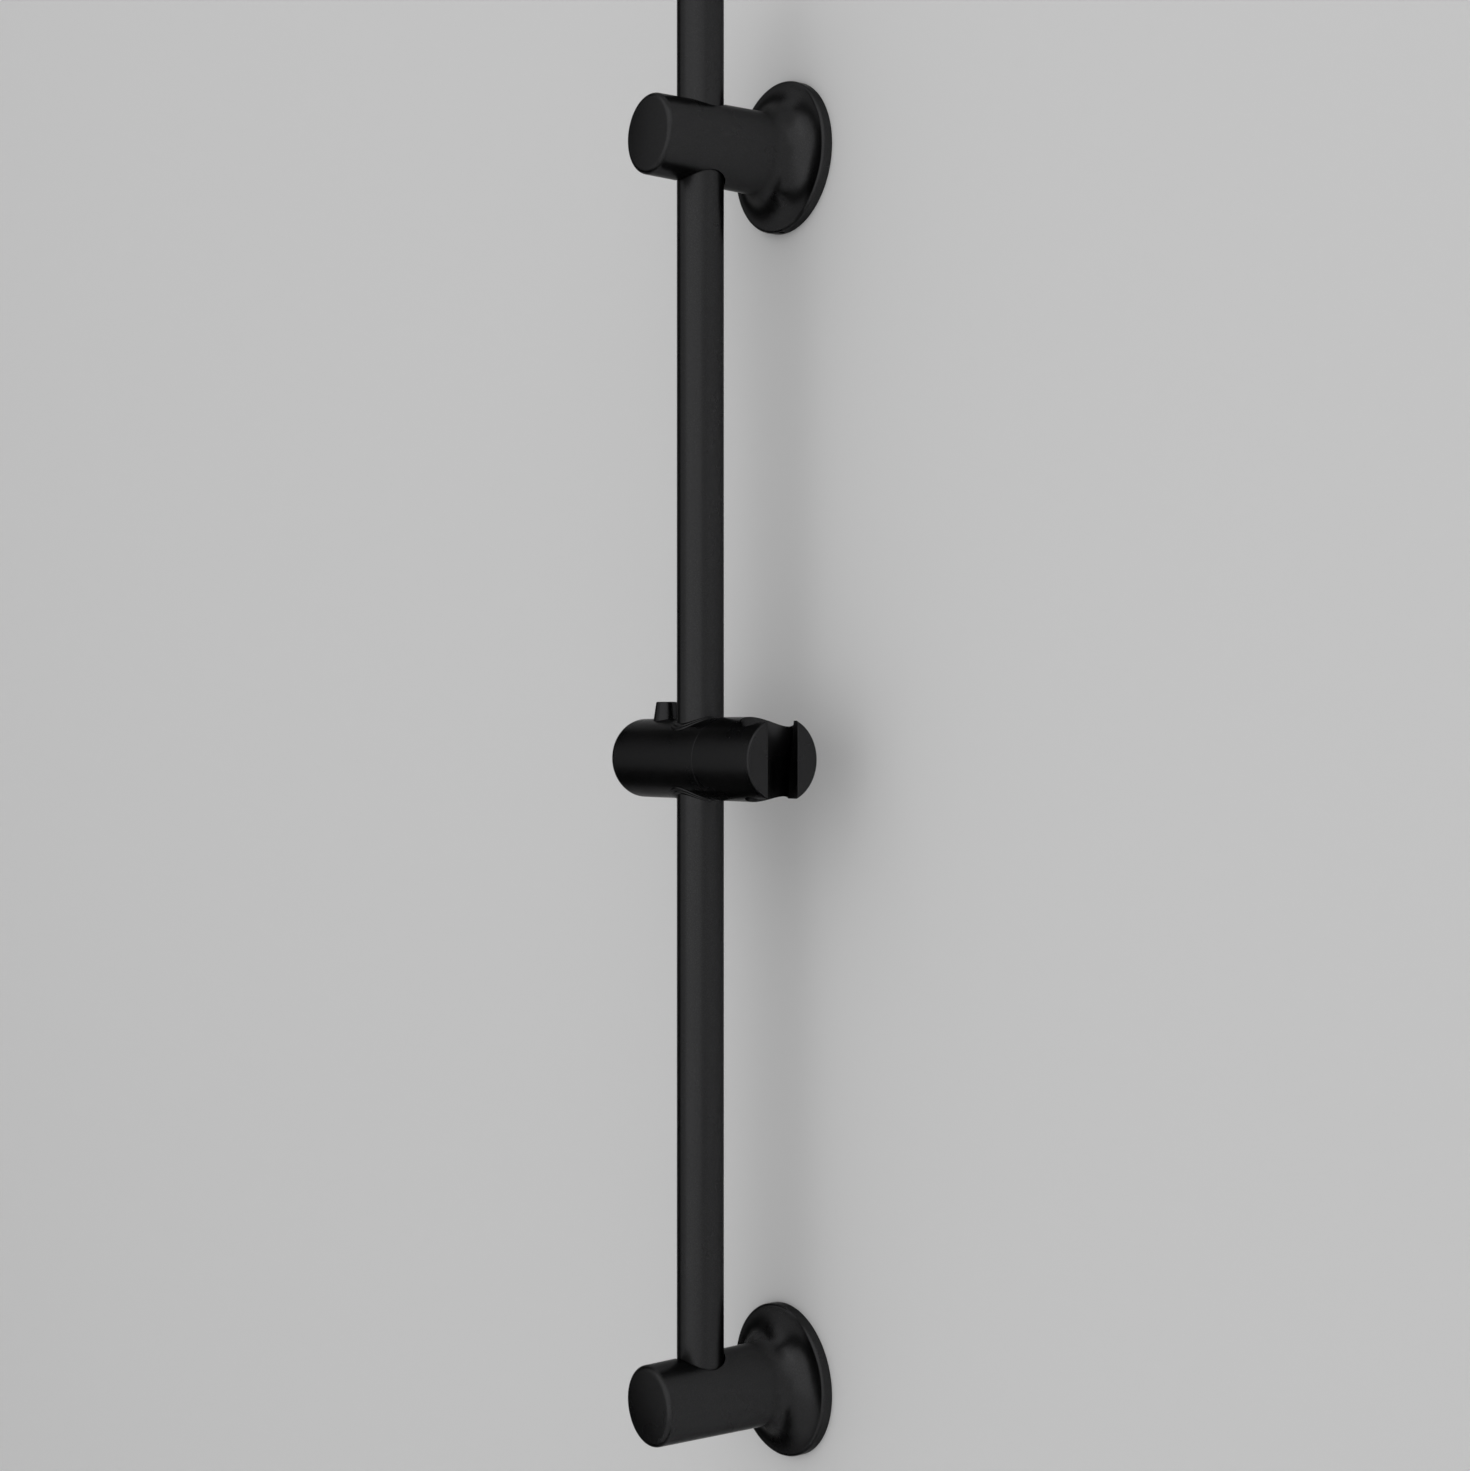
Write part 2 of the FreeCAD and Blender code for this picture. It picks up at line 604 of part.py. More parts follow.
def make_brake_spring():
    """Coil of square wire round the x axis, between the chamber's end and the shoe."""
    rise = "(spring_space - 2 * spring_seat - spring_wire)"
    coil = doc.addObject("Part::Helix", "spring_path")
    bind(coil, Radius="spring_radius", Height=rise, Pitch=f"{rise} / spring_turns")
    section = doc.addObject("Part::RegularPolygon", "spring_section")
    section.Polygon = 4
    bind(section, Circumradius="spring_wire / sqrt(2)")
    tilt = FreeCAD.Rotation(X_AXIS, 90).multiply(FreeCAD.Rotation(Z_AXIS, 45))
    place(section, ("spring_radius", "0", "0"), tilt)
    doc.recompute()
    wound = doc.addObject("Part::Sweep", "brake_spring")
    wound.Sections = [section]
    wound.Spine = (coil, ["Edge1"])
    wound.Solid = True
    wound.Frenet = True
    as_subpart(wound, "brake_spring", SLIDER_AT)
    start = f"spring_seat + spring_wire / 2 - {CHAMBER_END}"
    place(wound, (start, "-wall_to_rail", "slider_height"), along(X_AXIS))


def make_button():
    button = new_body("release_button", (f"-{BUTTON_X}", "-wall_to_rail", "slider_height"))
    barrel = [
        ("0", "barrel_end"),
        ("button_base + bead_proud", "barrel_end"),
        ("button_base + bead_proud", "barrel_end + bead_height"),
        ("button_base", "barrel_end + bead_height + bead_proud"),
        ("button_base", "slider_radius - button_travel / 2"),
        ("button_top", f"{BUTTON_Z} - button_edge"),
        ("button_top - button_edge", BUTTON_Z, "button_edge", 1),
        ("0", BUTTON_Z),
    ]
    revolve(button, "barrel", "XZ_Plane", "V_Axis", barrel)
    shoulder = "-blade_wedge - wedge_slope * blade_shoulder"
    blade = [
        ("wedge_slope * blade_foot - blade_wedge", "-blade_foot"),
        ("blade_front", "-blade_foot"),
        ("blade_front", "barrel_end + bead_height"),
        (shoulder, "barrel_end + bead_height"),
        (shoulder, "blade_shoulder"),
    ]
    plate_from(button, "Pad", "blade", "XZ_Plane", blade, "blade_thick")


def make_holder():
    holder = new_body("handset_holder", SLIDER_AT)
    outline = [
        (HUB_END, "0"),
        (HOLDER_END, "0"),
        (HOLDER_END, "holder_radius - holder_edge"),
        (f"{HOLDER_END} - holder_edge", "holder_radius", "holder_edge", 1),
        (f"{HOLDER_BACK} + seam_edge", "holder_radius"),
        (HOLDER_BACK, "holder_radius - seam_edge", "seam_edge", 1),
        (HOLDER_BACK, "hub_radius"),
        (HUB_END, "hub_radius"),
    ]
    revolve(holder, "cylinder", "XZ_Plane", "H_Axis", outline)
    shape_in(
        holder,
        "AdditiveCylinder",
        "stop_peg",
        (f"{HUB_FLOOR} - stop_depth + washer_thick", "0", "stop_radius"),
        X_AXIS,
        Radius="stop_peg",
        Height="stop_depth + washer_play + past",
    )
    bored(
        holder,
        "pivot_hole",
        ("0", "0", "0"),
        X_AXIS,
        "pivot_radius + screw_fit",
        f"{HOLDER_BACK} + pivot_grip",
    )
    taper = "((seat_top_radius - seat_bottom_radius) / (2 * holder_radius))"
    shape_in(
        holder,
        "SubtractiveCone",
        "seat",
        (SEAT_X, "0", "-holder_radius - past"),
        Z_AXIS,
        Radius1=f"seat_bottom_radius - past * {taper}",
        Radius2=f"seat_top_radius + past * {taper}",
        Height="2 * (holder_radius + past)",
    )
    mouth = "(slot_width / 2 + slot_edge)"
    slot = [
        (SEAT_X, "-slot_width / 2"),
        (f"{HOLDER_END} - slot_edge", "-slot_width / 2"),
        (HOLDER_END, f"-{mouth}", "slot_edge", -1),
        (f"{HOLDER_END} + past", f"-{mouth}"),
        (f"{HOLDER_END} + past", mouth),
        (HOLDER_END, mouth),
        (f"{HOLDER_END} - slot_edge", "slot_width / 2", "slot_edge", -1),
        (SEAT_X, "slot_width / 2"),
    ]
    plate_from(holder, "Pocket", "slot", "XY_Plane", slot, "2 * (holder_radius + past)")


def make_pivot():
    screw = new_body("holder_pivot_screw", SLIDER_AT)
    under = f"{HEAD_X} + pivot_head_height"
    tip = f"{HOLDER_BACK} + pivot_grip - screw_point"
    outline = [
        (HEAD_X, "0"),
        (tip, "0"),
        (tip, "pivot_radius"),
        (under, "pivot_radius"),
        (under, "pivot_head"),
        (HEAD_X, "pivot_head"),
    ]
    revolve(screw, "screw", "XZ_Plane", "H_Axis", outline)
    shape_in(
        screw,
        "SubtractivePrism",
        "socket",
        (f"{HEAD_X} - past", "0", "0"),
        X_AXIS,
        Circumradius="pivot_socket",
        Height="past + pivot_socket_depth",
    )

    washer = new_body("holder_washer", SLIDER_AT)
    hole = "pivot_radius + pivot_run"
    front = f"{HUB_FLOOR} + washer_thick"
    ring = [(HUB_FLOOR, hole), (front, hole), (front, "washer_radius"), (HUB_FLOOR, "washer_radius")]
    revolve(washer, "washer", "XZ_Plane", "H_Axis", ring)


def check_all():
    doc.recompute()
    for obj in doc.Objects:
        if {"Invalid", "Error"} & set(obj.State):
            raise RuntimeError(f"{obj.Name} did not build: {obj.State}")
    for obj in subparts:
        if obj.Shape.isNull() or not obj.Shape.isValid() or len(obj.Shape.Solids) != 1:
            raise RuntimeError(f"{obj.Label} is not one sound solid")


def export_all():
    os.makedirs("parts", exist_ok=True)
    for obj in subparts:
        obj.Shape.exportStep(os.path.join("parts", f"{obj.Label}.step"))
        box = obj.Shape.BoundBox
        size = f"{box.XLength:.1f} x {box.YLength:.1f} x {box.ZLength:.1f}"
        print(f"{obj.Label}: {obj.Shape.Volume:.0f} mm3, {size}")


make_rail()
make_brackets()
make_grip_sleeve()
make_slider_body()
make_guide_bushes()
make_brake()
make_brake_spring()
make_button()
make_holder()
make_pivot()
check_all()
export_all()
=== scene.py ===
"""Dresses a shower slide rail: its tube, spring and screws, its finishes, wall, light and camera.

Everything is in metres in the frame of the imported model. The wall is the plane y = 0, z is up, and
the tube stands in front of the wall, towards -y.
"""

import math
from collections import namedtuple

import bmesh
import bpy
from mathutils import Matrix, Vector


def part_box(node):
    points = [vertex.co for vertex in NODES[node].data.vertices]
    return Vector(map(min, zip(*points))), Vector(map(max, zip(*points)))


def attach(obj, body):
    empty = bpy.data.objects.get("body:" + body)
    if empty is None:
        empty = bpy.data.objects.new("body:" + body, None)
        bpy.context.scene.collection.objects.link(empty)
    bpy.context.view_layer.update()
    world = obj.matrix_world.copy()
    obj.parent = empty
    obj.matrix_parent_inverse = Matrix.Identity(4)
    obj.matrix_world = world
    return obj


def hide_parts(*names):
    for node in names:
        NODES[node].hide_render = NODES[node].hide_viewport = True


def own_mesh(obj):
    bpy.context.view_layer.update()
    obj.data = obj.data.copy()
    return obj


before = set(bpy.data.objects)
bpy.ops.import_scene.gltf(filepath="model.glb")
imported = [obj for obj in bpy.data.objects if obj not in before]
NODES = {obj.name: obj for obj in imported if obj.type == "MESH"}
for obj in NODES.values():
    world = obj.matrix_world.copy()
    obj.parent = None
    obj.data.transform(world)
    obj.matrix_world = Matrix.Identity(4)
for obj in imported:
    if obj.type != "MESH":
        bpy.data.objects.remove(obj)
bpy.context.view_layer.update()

bl_info = {
    "name": "Shower Slide Rail",
    "version": (1, 0, 0),
    "blender": (4, 5, 0),
    "location": "View3D > Sidebar > Slide Rail",
    "description": "Dresses a wall-mounted shower slide rail with a sliding handset holder",
    "category": "Object",
}

# The tube's box, radius and axis in the imported model
TUBE_LOW, TUBE_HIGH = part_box("rail_tube")
TUBE_RADIUS = (TUBE_HIGH.x - TUBE_LOW.x) / 2
TUBE_AXIS = (TUBE_LOW + TUBE_HIGH) / 2

# Each softbox: name, azimuth from -y towards +x, elevation, width and height as seen from the tube, all
# in degrees, and brightness.
SOFTBOXES = (
    ("front_softbox", 0.0, -3.0, 40.0, 46.0, 0.39),
    ("front_right_softbox", 40.0, -3.0, 40.0, 46.0, 0.34),
    ("front_left_softbox", -40.0, 2.0, 40.0, 48.0, 0.03),
    ("right_softbox", 78.0, 2.0, 34.0, 60.0, 0.04),
    ("high_softbox", 0.0, 40.0, 50.0, 40.0, 0.36),
    ("high_right_softbox", 50.0, 40.0, 50.0, 40.0, 0.35),
    ("high_left_softbox", -50.0, 45.0, 50.0, 40.0, 0.14),
)
SOFTBOX_DISTANCE = 5.0

# Dark flags keep the left and the underside of the rail dark. The left one stands at one x, with corners
# (y, z), and the low one lies at one z, with corners (x, y).
LEFT_FLAG_X = -2.0
LEFT_FLAG_SHADE = 0.05
LEFT_FLAG_CORNERS = ((0.0, -3.0), (-1.5, -3.0), (-1.15, 0.8), (-1.15, 3.0), (0.0, 3.0))
LOW_FLAG_Z = -0.98
LOW_FLAG_SHADE = 0.04
LOW_FLAG_CORNERS = ((-3.0, -2.45), (-0.3, -0.42), (0.8, -0.3), (0.8, 0.0), (-3.0, 0.0))

# Each flag: name, shade of grey and corners
FLAGS = (
    ("left_flag", LEFT_FLAG_SHADE, tuple((LEFT_FLAG_X, y, z) for y, z in LEFT_FLAG_CORNERS)),
    ("low_flag", LOW_FLAG_SHADE, tuple((x, y, LOW_FLAG_Z) for x, y in LOW_FLAG_CORNERS)),
)

# The wall, its openings behind the flanges, the floor, and the camera's sensor in millimetres
WALL_REACH = 6.0
WALL_GAP = 0.0001
WALL_ROUGHNESS = 0.9
WALL_GLOSS = 0.1
OPENING_INSET = 0.0005
OPENING_SIDES = 64
FLOOR_SIDE = 6.0
FLOOR_FRONT = -2.8
SENSOR_WIDTH = 36.0

# Steps of a rounded edge, sides of a screw, where a corner is sharp, and how far large faces rule the shading
EDGE_STEPS = 4
SCREW_SIDES = 48
SHARP_CORNER = math.radians(35.0)
FACE_WEIGHT = 100

# Threads: points in a pitch, depth over pitch, slope of the flanks and flat of the crest
THREAD_STEPS = 8
THREAD_DEPTH = 0.61
FLANK_SLOPE = 1.3
CREST_FLAT = 0.15

# The brake spring: steps in a turn, sides of its wire, and closed turns at each end
COIL_STEPS = 48
WIRE_SIDES = 16
CLOSED_TURNS = 1.0

# Strength of the grain's bump, and how much of its gloss a black finish keeps at its rims
GRAIN_STRENGTH = 0.12
RIM_TINT = 0.48

# Grain, sheen and brushing of the finishes: detail and scale of the noise, and the part of it that is used
GRAIN_DETAIL = 2.0
FLECK_RANGE = (0.45, 0.7)
SHEEN_DETAIL = 3.0
SHEEN_SCALE = 38.0
SHEEN_RANGE = (0.35, 0.65)
BRUSH_DETAIL = 4.0
BRUSH_SCALE = (40.0, 40.0, 2600.0)
BRUSH_RANGE = (0.3, 0.7)

# Skin of each slot's finish: scale of the grain, its height in metres, drift of the roughness, and the shade
# of the grain's high spots, or of the steel's streaks, over the plain colour
Skin = namedtuple("Skin", "grain_scale grain_height drift shade")
SKINS = {
    "coated_metal": Skin(grain_scale=2600.0, grain_height=0.00006, drift=0.03, shade=1.35),
    "black_plastic": Skin(grain_scale=3600.0, grain_height=0.00004, drift=0.03, shade=1.3),
    "inner_plastic": Skin(grain_scale=4200.0, grain_height=0.00003, drift=0.05, shade=1.2),
    "steel": Skin(grain_scale=5200.0, grain_height=0.00002, drift=0.08, shade=0.62),
    "pad_rubber": Skin(grain_scale=3000.0, grain_height=0.00008, drift=0.08, shade=1.4),
}


class RailFinishes(bpy.types.PropertyGroup):
    """Colours and gloss of the finishes."""

    coat_colour: bpy.props.FloatVectorProperty(
        name="Coat Colour",
        description="Satin black coating of the tube and the brackets",
        subtype="COLOR",
        min=0.0,
        max=1.0,
        default=(0.041, 0.041, 0.042),
    )
    coat_roughness: bpy.props.FloatProperty(
        name="Coat Roughness",
        description="Mean roughness of the coating",
        subtype="FACTOR",
        min=0.0,
        max=1.0,
        default=0.29,
    )
    moulding_colour: bpy.props.FloatVectorProperty(
        name="Moulding Colour",
        description="Black plastic of the slider, the holder and the button",
        subtype="COLOR",
        min=0.0,
        max=1.0,
        default=(0.036, 0.036, 0.037),
    )
    moulding_roughness: bpy.props.FloatProperty(
        name="Moulding Roughness",
        description="Mean roughness of the black plastic",
        subtype="FACTOR",
        min=0.0,
        max=1.0,
        default=0.28,
    )
    liner_colour: bpy.props.FloatVectorProperty(
        name="Liner Colour",
        description="Dark grey plastic of the bushes, the sleeve and the brake shoe",
        subtype="COLOR",
        min=0.0,
        max=1.0,
        default=(0.1, 0.1, 0.105),
    )
    liner_roughness: bpy.props.FloatProperty(
        name="Liner Roughness",
        description="Mean roughness of the dark grey plastic",
        subtype="FACTOR",
        min=0.0,
        max=1.0,
        default=0.45,
    )
    steel_colour: bpy.props.FloatVectorProperty(
        name="Steel Colour",
        description="Stainless steel of the screws, the spring and the wall plates",
        subtype="COLOR",
        min=0.0,
        max=1.0,
        default=(0.55, 0.56, 0.57),
    )
    steel_roughness: bpy.props.FloatProperty(
        name="Steel Roughness",
        description="Mean roughness of the stainless steel",
        subtype="FACTOR",
        min=0.0,
        max=1.0,
        default=0.28,
    )
    rubber_colour: bpy.props.FloatVectorProperty(
        name="Rubber Colour",
        description="Rubber of the brake pad",
        subtype="COLOR",
        min=0.0,
        max=1.0,
        default=(0.035, 0.034, 0.033),
    )
    rubber_roughness: bpy.props.FloatProperty(
        name="Rubber Roughness",
        description="Mean roughness of the rubber",
        subtype="FACTOR",
        min=0.0,
        max=1.0,
        default=0.75,
    )


class RailPieces(bpy.types.PropertyGroup):
    """Sizes of the pieces that are made here."""

    tube_edge: bpy.props.FloatProperty(
        name="Tube Edge",
        description="Rounding of the tube's cut ends",
        unit="LENGTH",
        min=0.0,
        default=0.0003,
    )
    tube_wall: bpy.props.FloatProperty(
        name="Tube Wall",
        description="Wall thickness of the tube",
        unit="LENGTH",
        min=0.0,
        default=0.0012,
    )
    tube_sides: bpy.props.IntProperty(
        name="Tube Sides",
        description="Faces round the tube",
        min=24,
        default=128,
    )
    rim_pitch: bpy.props.FloatProperty(
        name="Rim Screw Pitch",
        description="Thread pitch of the grub screws in the brackets' rims",
        unit="LENGTH",
        min=0.0001,
        default=0.0005,
    )
    tube_pitch: bpy.props.FloatProperty(
        name="Tube Screw Pitch",
        description="Thread pitch of the grub screws behind the tube",
        unit="LENGTH",
        min=0.0001,
        default=0.001,
    )
    pivot_pitch: bpy.props.FloatProperty(
        name="Pivot Pitch",
        description="Thread pitch of the holder's pivot screw",
        unit="LENGTH",
        min=0.0001,
        default=0.0008,
    )
    screw_point: bpy.props.FloatProperty(
        name="Screw Point",
        description="Length of a grub screw's narrowed point",
        unit="LENGTH",
        min=0.0,
        default=0.0012,
    )
    point_share: bpy.props.FloatProperty(
        name="Point Share",
        description="Radius of a grub screw's point over its own radius",
        subtype="FACTOR",
        min=0.1,
        max=1.0,
        default=0.6,
    )
    socket_share: bpy.props.FloatProperty(
        name="Socket Share",
        description="Corner radius of a grub screw's hexagon socket over its own radius",
        subtype="FACTOR",
        min=0.1,
        max=0.9,
        default=0.55,
    )
    socket_depth: bpy.props.FloatProperty(
        name="Socket Depth",
        description="Depth of a grub screw's hexagon socket",
        unit="LENGTH",
        min=0.0,
        default=0.0025,
    )
    pivot_shank: bpy.props.FloatProperty(
        name="Pivot Shank",
        description="Radius of the pivot screw's shank",
        unit="LENGTH",
        min=0.0,
        default=0.0025,
    )
    pivot_head: bpy.props.FloatProperty(
        name="Pivot Head",
        description="Height of the pivot screw's head",
        unit="LENGTH",
        min=0.0,
        default=0.0026,
    )
    pivot_thread: bpy.props.FloatProperty(
        name="Pivot Thread",
        description="Threaded length of the pivot screw",
        unit="LENGTH",
        min=0.0,
        default=0.0115,
    )
    pivot_socket: bpy.props.FloatProperty(
        name="Pivot Socket",
        description="Corner radius of the hexagon socket in the pivot screw's head",
        unit="LENGTH",
        min=0.0,
        default=0.0023,
    )
    pivot_socket_depth: bpy.props.FloatProperty(
        name="Pivot Socket Depth",
        description="Depth of the hexagon socket in the pivot screw's head",
        unit="LENGTH",
        min=0.0,
        default=0.0017,
    )
    spring_wire: bpy.props.FloatProperty(
        name="Spring Wire",
        description="Thickness of the brake spring's wire",
        unit="LENGTH",
        min=0.0001,
        default=0.0009,
    )
    spring_turns: bpy.props.FloatProperty(
        name="Spring Turns",
        description="Turns of the brake spring, the closed ones at its ends included",
        min=3.0,
        default=5.0,
    )
    screw_edge: bpy.props.FloatProperty(
        name="Screw Edge",
        description="Chamfer of the screws' ends and heads",
        unit="LENGTH",
        min=0.0,
        default=0.0002,
    )


class RailStage(bpy.types.PropertyGroup):
    """Wall, floor, light and camera."""

    wall_colour: bpy.props.FloatVectorProperty(
        name="Wall Colour",
        description="Plain pale wall behind the rail, and the floor",
        subtype="COLOR",
        min=0.0,
        max=1.0,
        default=(0.82, 0.82, 0.82),
    )
    surround_colour: bpy.props.FloatVectorProperty(
        name="Surround Colour",
        description="Even pale surround that lights the rail from all sides",
        subtype="COLOR",
        min=0.0,
        max=1.0,
        default=(0.45, 0.45, 0.45),
    )
    floor_drop: bpy.props.FloatProperty(
        name="Floor Drop",
        description="Depth of the floor under the lower end of the tube",
        unit="LENGTH",
        default=1.0,
    )
    lens: bpy.props.FloatProperty(
        name="Lens",
        description="Focal length of the camera",
        unit="CAMERA",
        default=54.0,
    )
    camera_place: bpy.props.FloatVectorProperty(
        name="Camera Place",
        description="Where the camera stands",
        subtype="TRANSLATION",
        unit="LENGTH",
        default=(0.8507, -0.6312, 0.3083),
    )
    camera_azimuth: bpy.props.FloatProperty(
        name="Camera Azimuth",
        description="Level viewing direction, from square to the wall towards +x",
        subtype="ANGLE",
        default=math.radians(54.76),
    )


def new_material(name, colour, roughness):
    """A material with one Principled BSDF, and its node tree and shader."""
    material = bpy.data.materials.new(name)
    material.use_nodes = True
    tree = material.node_tree
    shader = tree.nodes["Principled BSDF"]
    shader.inputs["Base Color"].default_value = (*colour, 1.0)
    shader.inputs["Roughness"].default_value = roughness
    material.diffuse_color = (*colour, 1.0)
    return material, tree, shader


def new_group(name, inputs, outputs):
    """A shader node group with named number sockets. inputs gives each one's usual value."""
    group = bpy.data.node_groups.new(name, "ShaderNodeTree")
    for socket, usual in inputs.items():
        made = group.interface.new_socket(socket, in_out="INPUT", socket_type="NodeSocketFloat")
        made.default_value = usual
    for socket in outputs:
        group.interface.new_socket(socket, in_out="OUTPUT", socket_type="NodeSocketFloat")
    return group, group.nodes.new("NodeGroupInput"), group.nodes.new("NodeGroupOutput")


def feed(tree, source, socket):
    """Links a socket to another one, or sets it to a number."""
    if isinstance(source, bpy.types.NodeSocket):
        tree.links.new(source, socket)
    else:
        socket.default_value = source


def noise(tree, coordinates, detail, scale):
    """A noise texture read at the given coordinates. The scale may be a number or a socket."""
    node = tree.nodes.new("ShaderNodeTexNoise")
    node.inputs["Detail"].default_value = detail
    tree.links.new(coordinates, node.inputs["Vector"])
    feed(tree, scale, node.inputs["Scale"])
    return node.outputs["Fac"]


def ranged(tree, source, low, high, made_low, made_high):
    """Maps a value from one range to another, held at both ends. Ends may be numbers or sockets."""
    node = tree.nodes.new("ShaderNodeMapRange")
    tree.links.new(source, node.inputs["Value"])
    ends = {"From Min": low, "From Max": high, "To Min": made_low, "To Max": made_high}
    for socket, end in ends.items():
        feed(tree, end, node.inputs[socket])
    return node.outputs["Result"]


def grain_group(name):
    """Fine pebbled skin of a coated or moulded surface."""
    group, given, made = new_group(name, {"Scale": 2500.0}, ["Height", "Fleck"])
    place = group.nodes.new("ShaderNodeTexCoord").outputs["Object"]
    pebbles = noise(group, place, GRAIN_DETAIL, given.outputs["Scale"])
    group.links.new(pebbles, made.inputs["Height"])
    fleck = ranged(group, pebbles, *FLECK_RANGE, 0.0, 1.0)
    group.links.new(fleck, made.inputs["Fleck"])
    return group


def sheen_group(name):
    """Roughness that drifts over a surface as hands and cloths leave it."""
    inputs = {"Roughness": 0.4, "Drift": 0.04}
    group, given, made = new_group(name, inputs, ["Roughness"])
    place = group.nodes.new("ShaderNodeTexCoord").outputs["Object"]
    broad = noise(group, place, SHEEN_DETAIL, SHEEN_SCALE)
    low = group.nodes.new("ShaderNodeMath")
    low.operation = "SUBTRACT"
    high = group.nodes.new("ShaderNodeMath")
    high.operation = "ADD"
    for node in (low, high):
        group.links.new(given.outputs["Roughness"], node.inputs[0])
        group.links.new(given.outputs["Drift"], node.inputs[1])
    rough = ranged(group, broad, *SHEEN_RANGE, low.outputs[0], high.outputs[0])
    group.links.new(rough, made.inputs["Roughness"])
    return group


GROUP_MAKERS = {"Fine Grain": grain_group, "Wiped Sheen": sheen_group}


def shared_group(name):
    """A node group that the finishes share, made the first time it is asked for."""
    return bpy.data.node_groups.get(name) or GROUP_MAKERS[name](name)


def placed(tree, name, **values):
    """Puts a shared node group into a material with its own values."""
    node = tree.nodes.new("ShaderNodeGroup")
    node.node_tree = shared_group(name)
    for socket, value in values.items():
        node.inputs[socket].default_value = value
    return node


def finish_with_grain(tree, shader, skin, roughness):
    """Gives a shader the fine grain of a skin as bump and its wiped sheen as roughness."""
    grain = placed(tree, "Fine Grain", Scale=skin.grain_scale)
    bump = tree.nodes.new("ShaderNodeBump")
    bump.inputs["Strength"].default_value = GRAIN_STRENGTH
    bump.inputs["Distance"].default_value = skin.grain_height
    tree.links.new(grain.outputs["Height"], bump.inputs["Height"])
    tree.links.new(bump.outputs["Normal"], shader.inputs["Normal"])
    sheen = placed(tree, "Wiped Sheen", Roughness=roughness, Drift=skin.drift)
    tree.links.new(sheen.outputs["Roughness"], shader.inputs["Roughness"])
    return grain


def tinted(tree, shader, colour, mask, shade):
    """Lightens or darkens the colour where a mask is high."""
    mix = tree.nodes.new("ShaderNodeMix")
    mix.data_type = "RGBA"
    mix.inputs["A"].default_value = (*colour, 1.0)
    mix.inputs["B"].default_value = (*(part * shade for part in colour), 1.0)
    tree.links.new(mask, mix.inputs["Factor"])
    tree.links.new(mix.outputs["Result"], shader.inputs["Base Color"])


def even_gloss(shader):
    """Black that mirrors as little at the rims as face on."""
    shader.inputs["Metallic"].default_value = 1.0
    shader.inputs["Specular Tint"].default_value = (RIM_TINT, RIM_TINT, RIM_TINT, 1.0)


def satin_coat(name, finishes, skin):
    """Satin black powder coating."""
    material, tree, shader = new_material(name, finishes.coat_colour, finishes.coat_roughness)
    even_gloss(shader)
    grain = finish_with_grain(tree, shader, skin, finishes.coat_roughness)
    tinted(tree, shader, finishes.coat_colour, grain.outputs["Fleck"], skin.shade)
    return material


def black_moulding(name, finishes, skin):
    """Black moulded plastic with a fine eroded skin."""
    material, tree, shader = new_material(name, finishes.moulding_colour, finishes.moulding_roughness)
    even_gloss(shader)
    grain = finish_with_grain(tree, shader, skin, finishes.moulding_roughness)
    tinted(tree, shader, finishes.moulding_colour, grain.outputs["Fleck"], skin.shade)
    return material


def grey_liner(name, finishes, skin):
    """Dark grey sliding plastic."""
    material, tree, shader = new_material(name, finishes.liner_colour, finishes.liner_roughness)
    grain = finish_with_grain(tree, shader, skin, finishes.liner_roughness)
    tinted(tree, shader, finishes.liner_colour, grain.outputs["Fleck"], skin.shade)
    return material


def bright_steel(name, finishes, skin):
    """Stainless steel, brushed along the width of the rail."""
    material, tree, shader = new_material(name, finishes.steel_colour, finishes.steel_roughness)
    shader.inputs["Metallic"].default_value = 1.0
    finish_with_grain(tree, shader, skin, finishes.steel_roughness)
    along = tree.nodes.new("ShaderNodeMapping")
    along.inputs["Scale"].default_value = BRUSH_SCALE
    place = tree.nodes.new("ShaderNodeTexCoord").outputs["Object"]
    tree.links.new(place, along.inputs["Vector"])
    streaks = noise(tree, along.outputs["Vector"], BRUSH_DETAIL, 1.0)
    mask = ranged(tree, streaks, *BRUSH_RANGE, 0.0, 1.0)
    tinted(tree, shader, finishes.steel_colour, mask, skin.shade)
    return material


def brake_rubber(name, finishes, skin):
    """Dull black rubber."""
    material, tree, shader = new_material(name, finishes.rubber_colour, finishes.rubber_roughness)
    grain = finish_with_grain(tree, shader, skin, finishes.rubber_roughness)
    tinted(tree, shader, finishes.rubber_colour, grain.outputs["Fleck"], skin.shade)
    return material


MAKERS = {
    "coated_metal": satin_coat,
    "black_plastic": black_moulding,
    "inner_plastic": grey_liner,
    "steel": bright_steel,
    "pad_rubber": brake_rubber,
}


def finish_for(context, slot):
    """The material of a slot of the record, made the first time it is asked for."""
    name = f"finish_{slot}"
    made = bpy.data.materials.get(name)
    return made or MAKERS[slot](name, context.scene.slide_rail_finishes, SKINS[slot])


def fair_normals(piece):
    """Keeps flat faces flat and roundings smooth in the shading of a piece."""
    fair = piece.modifiers.new("fair_normals", "WEIGHTED_NORMAL")
    fair.weight = FACE_WEIGHT
    return fair


def dress(context, slot, *names):
    """Gives CAD nodes the finish of a slot."""
    for name in names:
        node = NODES[name]
        node.material_slots[0].material = finish_for(context, slot)
        fair_normals(node)


